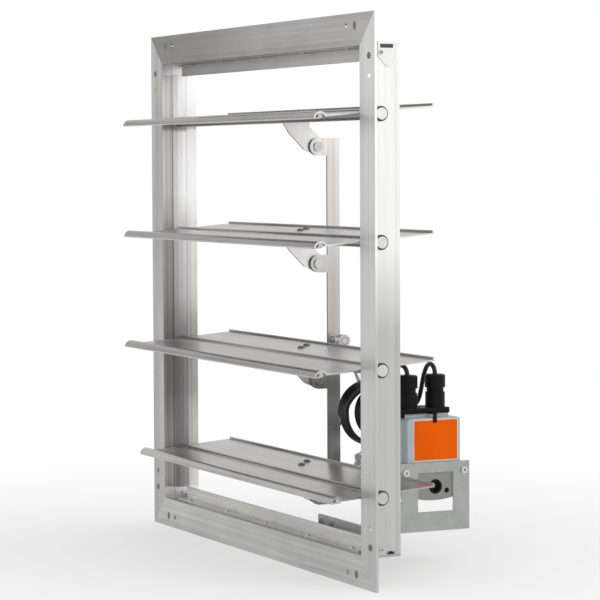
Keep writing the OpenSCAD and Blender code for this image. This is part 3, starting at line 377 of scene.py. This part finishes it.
# moulded skin with a fine grain
skinLooks = {
    "capPlastic": {
        "tone": (0.007, 0.007, 0.007), "rough": 0.46, "grain": 1100.0, "bump": 0.14, "shine": 0.13,
    },
    "sealRubber": {"tone": (0.60, 0.60, 0.58), "rough": 0.62, "grain": 800.0, "bump": 0.10},
    "stripRubber": {
        "tone": (1.0, 0.96, 0.935), "rough": 0.36, "grain": 800.0, "bump": 0.08, "metal": 0.9,
        # painted light and shade: darker towards the bottom but lighter again near it, and a
        # painted shadow under the top blade
        "paintedShading": [(-0.74, None, (2, 0.12, -0.1)), (0.4, None, (2, -0.15, -0.21)),
                 (-0.62, None, (2, 0.205, 0.210), (2, 0.223, 0.221))],
    },
    "cableJacket": {
        "tone": (0.010, 0.010, 0.011), "rough": 0.34, "grain": 500.0, "bump": 0.06, "shine": 0.35,
    },
    "labelSheet": {
        "tone": (0.98, 0.135, 0.0), "rough": 0.55, "grain": 1500.0, "bump": 0.03, "shine": 0.07,
    },
    "labelEdge": {"tone": (0.86, 0.80, 0.74), "rough": 0.45, "grain": 1500.0, "bump": 0.03},
    "bushingPlastic": {"tone": (0.05, 0.05, 0.05), "rough": 0.5, "grain": 900.0, "bump": 0.08},
    "recessDark": {"tone": (0.03, 0.03, 0.032), "rough": 0.55, "grain": 900.0, "bump": 0.10},
    "shadeBrown": {
        "tone": (0.11, 0.10, 0.085), "rough": 0.6, "grain": 300.0, "bump": 0.2, "shine": 0.2,
    },
    "wireBlack": {"tone": (0.03, 0.03, 0.03), "rough": 0.35, "grain": 900.0, "bump": 0.04},
    "wireWhite": {"tone": (0.8, 0.8, 0.78), "rough": 0.35, "grain": 900.0, "bump": 0.04},
    "wireRed": {"tone": (0.14, 0.012, 0.01), "rough": 0.35, "grain": 900.0, "bump": 0.04},
}
skinSurface = {"clouds": 30.0, "low": 0.3, "high": 0.7, "shades": (0.93, 1.05), "smoother": 0.06,
               "cloudRough": 0.12, "depth": 0.0003}


def mouldedSkin(name, tone, rough, grain, bump, shine=0.5, metal=0.0, paintedShading=()):
    look = skinSurface
    finish = Finish(name, Specular_IOR_Level=shine, Metallic=metal)
    clouds = finish.noise(look["clouds"])
    skin = finish.toned(finish.ramp(clouds, look["low"], look["high"]), tone, look["shades"])
    # painted light and shade from the look's steps
    if paintedShading:
        skin = finish.scaled(skin, finish.paintedShading(paintedShading))
    finish.set(Base_Color=skin)
    finish.set(Roughness=(rough - look["smoother"]) + clouds * look["cloudRough"])
    finish.bump(finish.noise(grain), bump, look["depth"])
    return finish.material


# housing: painted above, bare grey metal below the label
housingLook = {"paint": (0.49, 0.57, 0.59), "paintShades": (0.93, 1.05),
               "metal": (0.27, 0.27, 0.26), "metalShades": (0.8, 1.2), "bareMetal": 0.85,
               "change": -0.2062, "soft": 0.0002, "grain": 700.0, "clouds": 30.0, "rough": 0.38,
               "cloudRough": 0.1, "bump": 0.08, "depth": 0.0003}


def castHousing(look):
    finish = Finish("housingPaint")
    grain = finish.noise(look["grain"])
    clouds = finish.noise(look["clouds"])
    painted = finish.ramp(finish.part("Object", 2), look["change"] - look["soft"],
                          look["change"] + look["soft"])
    paint = finish.toned(clouds, look["paint"], look["paintShades"])
    metal = finish.toned(grain, look["metal"], look["metalShades"])
    finish.set(Base_Color=finish.blendColors(painted, metal, paint))
    finish.set(Metallic=(1 - painted) * look["bareMetal"])
    finish.set(Roughness=look["rough"] + clouds * look["cloudRough"])
    finish.bump(grain, look["bump"], look["depth"])
    return finish.material


materials = {"housingPaint": castHousing(housingLook)}
for build, looks in ((drawnMetal, metalLooks), (platedSteel, plateLooks), (mouldedSkin, skinLooks)):
    for name, look in looks.items():
        materials[name] = build(name, **look)
print("finishes made:", len(materials))

wearers = {
    "headerMetal": ["header_rail"],
    "sillMetal": ["sill_rail"],
    "rightJambMetal": ["right_jamb"],
    "clipMetal": ["corner_clips"],
    "leftJambMetal": ["left_jamb"],
    "bladeSkin": ["blade_1", "blade_2", "blade_3", "blade_4"],
    "stopSheet": ["header_stop", "sill_stop", "stop_rivets"],
    "barStock": ["tie_bar"],
    "galvanisedSheet": ["bracket"],
    "keySteel": ["corner_keys"],
    "housingPaint": ["actuator_case", "actuator_cover"],
    "capPlastic": ["base_cap", "gland_bodies", "gland_caps", "drive_sleeve", "cable_ties"],
    "sealRubber": ["header_gasket", "blade_seal_1", "blade_seal_2", "blade_seal_3",
                   "blade_seal_4"],
    "stripRubber": ["left_jamb_seal", "right_jamb_seal"],
    "bushingPlastic": ["bearings"],
    "axleZinc": ["axle_1", "axle_2", "axle_3", "axle_4"],
    "brightZinc": ["pivot_pins", "pivot_washers", "corner_screws", "bracket_screws", "crank_nuts",
                   "rod_nuts"],
    "armSheet": ["arm_1", "arm_2", "arm_3", "arm_4"],
    "screwSteel": ["arm_screws_1", "arm_screws_2", "arm_screws_3", "arm_screws_4"],
    "zincPlate": ["ball_stud_upper", "ball_stud_lower", "linkage_rod", "rod_end_upper",
                  "rod_end_lower", "crank_arm", "crank_shaft", "crank_u_bolt"],
}


def wear(thing, materialName):
    slots = thing.data.materials
    slots.clear()
    slots.append(materials[materialName])


for materialName, members in wearers.items():
    for member in members:
        wear(nodes[member], materialName)
print("nodes dressed:", sum(len(members) for members in wearers.values()))


def ringPoints(center, side, other, radii):
    # one point for each radius, turned evenly from side towards other
    turns = [2 * math.pi * j / len(radii) for j in range(len(radii))]
    return [center + (side * math.cos(turn) + other * math.sin(turn)) * radius
            for turn, radius in zip(turns, radii)]


def ringFaces(rings, sides, base=0):
    # quads between neighbouring rings of points, then a face on each end
    faces = []
    for k in range(rings - 1):
        for j in range(sides):
            a, b = base + k * sides + j, base + k * sides + (j + 1) % sides
            faces.append([a, b, b + sides, a + sides])
    faces.append([base + sides - 1 - j for j in range(sides)])
    faces.append([base + (rings - 1) * sides + j for j in range(sides)])
    return faces


def meshPiece(name, vertices, faces, body, materialName, smooth=()):
    # smooth lists the numbers of corners of the faces that are shaded smooth
    data = bpy.data.meshes.new(name)
    data.from_pydata(vertices, [], faces)
    data.polygons.foreach_set("use_smooth", [len(face) in smooth for face in faces])
    made = linked(name, data)
    wear(made, materialName)
    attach(made, body)
    return made


def tubePiece(name, points, diameter, sides, materialName):
    # rings square to the way, carried along without twist
    way = [(after - before).normalized()
           for before, after in zip(points[:1] + points[:-1], points[1:] + points[-1:])]
    side = way[0].orthogonal().normalized()
    vertices = []
    for point, ahead in zip(points, way):
        side = (side - ahead * side.dot(ahead)).normalized()
        vertices += ringPoints(point, side, ahead.cross(side), [diameter / 2] * sides)
    return meshPiece(name, vertices, ringFaces(len(points), sides), "fixed_frame", materialName,
                     (4,))


# cables: two pigtails from the glands, each wound into a coil that hangs on its lead
cables = {
    "diameter": 5.8,
    "sides": 12,
    "glandX": 172.0,
    "glandMouth": -106.0,
    "coilY": 136.0,
    "coilZ": -156.0,
    "pitch": 6.5,
    "leadSteps": 3,
    "ringsPerTurn": 48,
    "tuck": 3.2,
    "drop": 4.9,
    "left": {
        "glandY": 129.0, "start": 69.0, "radius": 39.0, "tall": 39.0, "turns": 3, "side": -1,
        "aside": 0.0, "rise": 0.0,
        "route": [(0, 0, 0), (0, 0, 5.8), (-1.6, -0.3, 11.8), (-6, -1.2, 16.2), (-12, -2.7, 17.8),
                  (-20, -4.8, 16.6), (-28.5, -7.2, 12.8), (-38, -10.4, 7.2), (-49.5, -14.4, 0),
                  (-61.5, -18.8, -7.2), (-73.5, -23.3, -14.6), (-84.5, -27.2, -22.2),
                  (-93.5, -30, -30), (-100, -31.6, -37.6)],
    },
    "right": {
        "glandY": 168.0, "start": 72.0, "radius": 22.5, "tall": 27.3, "turns": 4, "side": 1,
        "aside": 7.5, "rise": -1.0,
        "route": [(0, 0, 0), (0, 0, 5.8), (-1.6, 0, 11.8), (-6, 0, 16.2), (-12, 0, 17.8),
                  (-18.2, 0, 16.2), (-23.2, 0, 12), (-27, 0, 6.6), (-30.2, -0.2, 0),
                  (-32.8, -0.4, -8), (-35.4, -0.6, -16), (-38.6, -0.8, -24), (-43.4, -1, -31),
                  (-50.6, -1.2, -35.6), (-59.6, -1.4, -36.6), (-69, -1.6, -34.8),
                  (-78.5, -1.8, -33.2), (-88, -1.9, -33.2), (-94.4, -2, -35.4), (-98.5, -2, -40)],
    },
}
bareWires = {"finishes": ("wireBlack", "wireWhite", "wireRed"), "diameter": 1.7, "sides": 8,
             "firstTurn": 40, "offset": 1.1, "sunk": 0.6, "steps": 8, "step": 1.4, "bend": 0.03}


def smoothed(points, steps):
    # passes through every point of the route, with steps places between two of them
    result = []
    for a, b, c, d in zip(points[:1] + points[:-2], points[:-1], points[1:],
                          points[2:] + points[-1:]):
        for j in range(steps):
            t = j / steps
            result.append(0.5 * (2 * b + (c - a) * t + (2 * a - 5 * b + 4 * c - d) * t * t
                                 + (3 * b - a - 3 * c + d) * t * t * t))
    return result + points[-1:]


def cablePoints(one):
    gland = Vector((cables["glandX"], one["glandY"], cables["glandMouth"]))
    middle = Vector((one["start"], cables["coilY"] + one["aside"], cables["coilZ"] + one["rise"]))
    reach = one["side"] * one["radius"]
    entry = middle + Vector((0, reach, cables["diameter"]))
    lead = smoothed([gland + Vector(p) for p in one["route"]] + [entry], cables["leadSteps"])
    coil = []
    for k in range(one["turns"] * cables["ringsPerTurn"] + 1):
        done = k / cables["ringsPerTurn"]
        turn = 2 * math.pi * done
        coil.append(middle + Vector((-cables["pitch"] * done, reach * math.cos(turn),
                                     -one["tall"] * math.sin(turn))))
    tail = coil[-1] - Vector((0, one["side"] * cables["tuck"], cables["drop"]))
    return [p * mm for p in lead + coil + [tail]]


def wirePoints(end, turn):
    # one bare conductor that leaves the jacket and bends aside
    aside = Vector((math.cos(turn), math.sin(turn), 0))
    first = end + aside * bareWires["offset"] * mm + Vector((0, 0, bareWires["sunk"] * mm))
    return [first + aside * (bareWires["bend"] * k * k * mm)
            - Vector((0, 0, bareWires["step"] * k * mm)) for k in range(bareWires["steps"] + 1)]


for which in ("left", "right"):
    points = cablePoints(cables[which])
    diameter = cables["diameter"] * mm
    cable = tubePiece("cable_" + which, points, diameter, cables["sides"], "cableJacket")
    for k, finishName in enumerate(bareWires["finishes"]):
        turn = math.radians(bareWires["firstTurn"] + 360 * k / len(bareWires["finishes"]))
        tubePiece("wire_%s_%d" % (which, k), wirePoints(points[-1], turn),
                               bareWires["diameter"] * mm, bareWires["sides"], finishName)
    length = sum((b - a).length for a, b in zip(points, points[1:]))
    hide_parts("lead_" + which, "coil_" + which)
    print("cable", which, round(length, 3), "m")


def roundedSheet(name, settings, side, thickness, inset, materialName):
    # a flat sheet with rounded corners that stands across X, from side outwards
    corner = settings["corner"] - inset
    front, base = (settings[key] + settings["corner"] for key in ("front", "base"))
    rear, top = (settings[key] - settings["corner"] for key in ("rear", "top"))
    loop = []
    for start, y, z in ((0, rear, top), (90, front, top), (180, front, base), (270, rear, base)):
        for k in range(settings["steps"] + 1):
            turn = math.radians(start + 90 * k / settings["steps"])
            loop.append((y + corner * math.cos(turn), z + corner * math.sin(turn)))
    vertices = [Vector((x, y, z)) * mm for x in (side, side + thickness) for y, z in loop]
    meshPiece(name, vertices, ringFaces(2, len(loop)), "fixed_frame", materialName)


# label: a bare coloured sheet with a pale edge on the actuator's cover
label = {"side": 199.7, "front": 122.6, "rear": 184.8, "top": -153.2, "base": -204.3,
         "corner": 2.4, "steps": 6, "thickness": 0.22, "edge": 1.0, "face": 0.08}
labelFace = label["side"] + label["thickness"]
roundedSheet("label_backing", label, label["side"], label["thickness"], 0, "labelEdge")
roundedSheet("label_face", label, labelFace, label["face"], label["edge"], "labelSheet")
print("label made")

# shaded openings of the corner clips
clipOpening = {"front": 24.5, "rear": 41.5, "base": 295.85, "top": 300.4, "corner": 0.4,
               "steps": 2, "thickness": 0.4, "sides": {"right": 301.8, "left": -302.2}}
for word, side in clipOpening["sides"].items():
    roundedSheet("clip_shade_" + word, clipOpening, side, clipOpening["thickness"], 0,
                 "shadeBrown")
print("clip openings shaded")


def middleOf(nodeName):
    low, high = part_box(nodeName)
    return (low + high) / 2


# threaded rod between the two rod ends, a helical ridge in the place of the CAD rod
rodThread = {"upperX": 27.0, "lowerX": -5.0, "inset": 12.1, "pitch": 1.25, "depth": 0.32,
             "radius": 2.6, "sides": 18, "perPitch": 4}


def threadedRod(settings):
    start, end = middleOf("ball_stud_upper"), middleOf("ball_stud_lower")
    start.x, end.x = settings["upperX"] * mm, settings["lowerX"] * mm
    way = (end - start).normalized()
    inset = settings["inset"] * mm
    start, end = start + way * inset, end - way * inset
    span = (end - start).length
    side = way.cross(Vector((1, 0, 0))).normalized()
    other = way.cross(side)
    sides, pitch = settings["sides"], settings["pitch"] * mm
    count = int(span / (pitch / settings["perPitch"]))
    vertices = []
    for k in range(count + 1):
        along = span * k / count
        dips = [abs(2 * ((along / pitch - j / sides) % 1.0) - 1) for j in range(sides)]
        radii = [(settings["radius"] - settings["depth"] * dip) * mm for dip in dips]
        vertices += ringPoints(start + way * along, side, other, radii)
    rod = meshPiece("rod_thread", vertices, ringFaces(count + 1, sides), "moving_linkage",
                    "zincPlate", (4, sides))
    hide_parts("linkage_rod")


threadedRod(rodThread)
print("rod threaded")

# dark joint between the socket of the upper rod end and its cap
socketRing = {"inner": 4.3, "outer": 5.0, "sunk": 0.2, "lift": 0.05, "sides": 40}


def capRing(name, socket, stud, body, settings):
    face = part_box(socket)[1].x
    center = middleOf(stud)
    count = settings["sides"]
    vertices, faces = [], []
    for x in (face - settings["sunk"] * mm, face + settings["lift"] * mm):
        center.x = x
        for radius in (settings["inner"], settings["outer"]):
            vertices += ringPoints(center, Vector((0, 1, 0)), Vector((0, 0, 1)),
                                   [radius * mm] * count)
    for k in range(count):
        following = (k + 1) % count
        for a, b in ((0, 1), (1, 3), (3, 2), (2, 0)):
            faces.append([a * count + k, a * count + following, b * count + following,
                          b * count + k])
    meshPiece(name, vertices, faces, body, "recessDark")


capRing("socket_ring_upper", "rod_end_upper", "ball_stud_upper", "moving_linkage", socketRing)
print("socket ring made")

# drives of the screws: painted shade in the shape of a cross recess, a dark cross on each visible
# head
screwDrive = {"reach": 2.3, "width": 0.75, "sunk": 0.3, "lift": 0.04}
bladeHeads = {"tilt": 4.6, "axleY": 25.4, "axleHeights": (219.4, 69.2, -81.0, -231.2),
              "rise": 6.6, "places": ((10.0, 36.6), (-9.0, 53.6))}  # across X, along the blade
frameHeads = {"corners": ((304.425, 25.6, 290.625), (302.825, 25.6, -292.45)),
              "bracket": ((205.1, 110.5, -217.5), (205.1, 191.8, -217.5)),
              "foot": ((90.7, 48.4, -286.75), (120.7, 48.4, -286.75)),
              "sideTurn": (0, 0.8, 0.6), "footTurn": (0.8, 0, 0.6)}


def crossRecess(name, heads, body):
    # each head is (middle of its face, outward way, across way)
    reach, width = screwDrive["reach"] * mm, screwDrive["width"] * mm / 2
    corners = [(width, width), (width, reach), (-width, reach)]
    outline = []
    for quarter in range(4):
        outline += corners
        corners = [(-b, a) for a, b in corners]
    vertices, faces = [], []
    for middle, outward, across in heads:
        other = outward.cross(across)
        faces += ringFaces(2, len(outline), len(vertices))
        for lift in (-screwDrive["sunk"] * mm, screwDrive["lift"] * mm):
            vertices += [middle + outward * lift + across * a + other * b for a, b in outline]
    meshPiece(name, vertices, faces, body, "recessDark")


sideX = Vector((1, 0, 0))
tilt = math.radians(bladeHeads["tilt"])
bladeAlong = Vector((0, math.cos(tilt), math.sin(tilt)))
bladeUp = Vector((0, -math.sin(tilt), math.cos(tilt)))
for n, height in enumerate(bladeHeads["axleHeights"], 1):
    face = Vector((0, bladeHeads["axleY"], height)) + bladeUp * bladeHeads["rise"]
    heads = [((face + sideX * x + bladeAlong * s) * mm, bladeUp, sideX)
             for x, s in bladeHeads["places"]]
    crossRecess("screw_drives_%d" % n, heads, "moving_blade_%d" % n)
turned = Vector(frameHeads["sideTurn"])
heads = [(Vector((side * x, y, z)) * mm, sideX * side, turned)
         for side in (1, -1) for x, y, z in frameHeads["corners"]]
heads += [(Vector(place) * mm, sideX, turned) for place in frameHeads["bracket"]]
heads += [(Vector(place) * mm, Vector((0, -1, 0)), Vector(frameHeads["footTurn"]))
          for place in frameHeads["foot"]]
crossRecess("screw_drives_frame", heads, "fixed_frame")
print("screw drives cut")

# stage and light: pale floor in front of a white backdrop, even world and two lamps
stageSettings = {"floor": -0.33655, "size": 60.0, "tone": (0.93, 0.93, 0.93),
                 "shades": (1.0, 0.99), "clouds": 1.5, "detail": 2.0, "rough": 0.9,
                 "near": 0.4, "far": 1.1, "share": 0.5, "world": 0.75}
lamps = {
    "keyLamp": {"place": (1.9, 1.0, 1.5), "aim": (0, 0, 0), "size": 1.1, "power": 9.0},
    "frontLamp": {"place": (1.6, -2.4, 1.8), "aim": (0, 0, 0), "size": 1.6, "power": 7.0},
}


def paleFloor(settings):
    finish = Finish("paleFloor", Roughness=settings["rough"])
    clouds = finish.noise(settings["clouds"], settings["detail"])
    finish.set(Base_Color=finish.toned(clouds, settings["tone"], settings["shades"]))
    # away from the object the floor turns into the white backdrop, for the camera and for
    # reflections
    spot = finish.node("TexCoord", out="Object")
    distance = finish.node("VectorMath", {"operation": "LENGTH"}, {0: spot}, out="Value")
    away = finish.ramp(distance, settings["near"], settings["far"])
    share = away * (1 - settings["share"]) + settings["share"]
    seen = (finish.node("LightPath", out="Is Camera Ray")
            + finish.node("LightPath", out="Is Glossy Ray"))
    glow = finish.node("Emission", None, {"Color": (1.0, 1.0, 1.0), "Strength": 1.0})
    mixed = finish.node("MixShader", None, {0: share * seen, 1: finish.surface, 2: glow})
    finish.feed(finish.output.inputs["Surface"], mixed)
    half, z = settings["size"], settings["floor"]
    data = bpy.data.meshes.new("studioFloor")
    corners = [(-half, -half, z), (half, -half, z), (half, half, z), (-half, half, z)]
    data.from_pydata(corners, [], [(0, 1, 2, 3)])
    data.materials.append(finish.material)
    linked("studioFloor", data)


def studioWorld(settings):
    # white to the camera and in reflections, and dimmer as light
    world = bpy.data.worlds.new("studioWorld")
    bpy.context.scene.world = world
    shading = Shading(world)
    seen = shading.node("LightPath", out="Is Camera Ray")
    for ray in ("Is Glossy Ray", "Is Transmission Ray"):
        path = shading.node("LightPath", out=ray)
        seen = shading.node("Math", {"operation": "MAXIMUM"}, {0: seen, 1: path})
    strength = shading.node("MapRange", None, {"Value": seen, "To Min": settings["world"],
                                               "To Max": 1.0})
    sky = shading.node("Background", None, {"Color": (1.0, 1.0, 1.0), "Strength": strength})
    shading.node("OutputWorld", None, {"Surface": sky})


def placeLamps(settings):
    for name, one in settings.items():
        data = bpy.data.lights.new(name, "AREA")
        data.size = one["size"]
        data.energy = one["power"]
        place = Vector(one["place"])
        turn = (Vector(one["aim"]) - place).to_track_quat("-Z", "Y").to_matrix().to_4x4()
        linked(name, data).matrix_world = Matrix.Translation(place) @ turn


paleFloor(stageSettings)
studioWorld(stageSettings)
placeLamps(lamps)
bpy.context.scene.view_settings.view_transform = "Standard"
print("stage and lamps set")

bpy.context.view_layer.update()
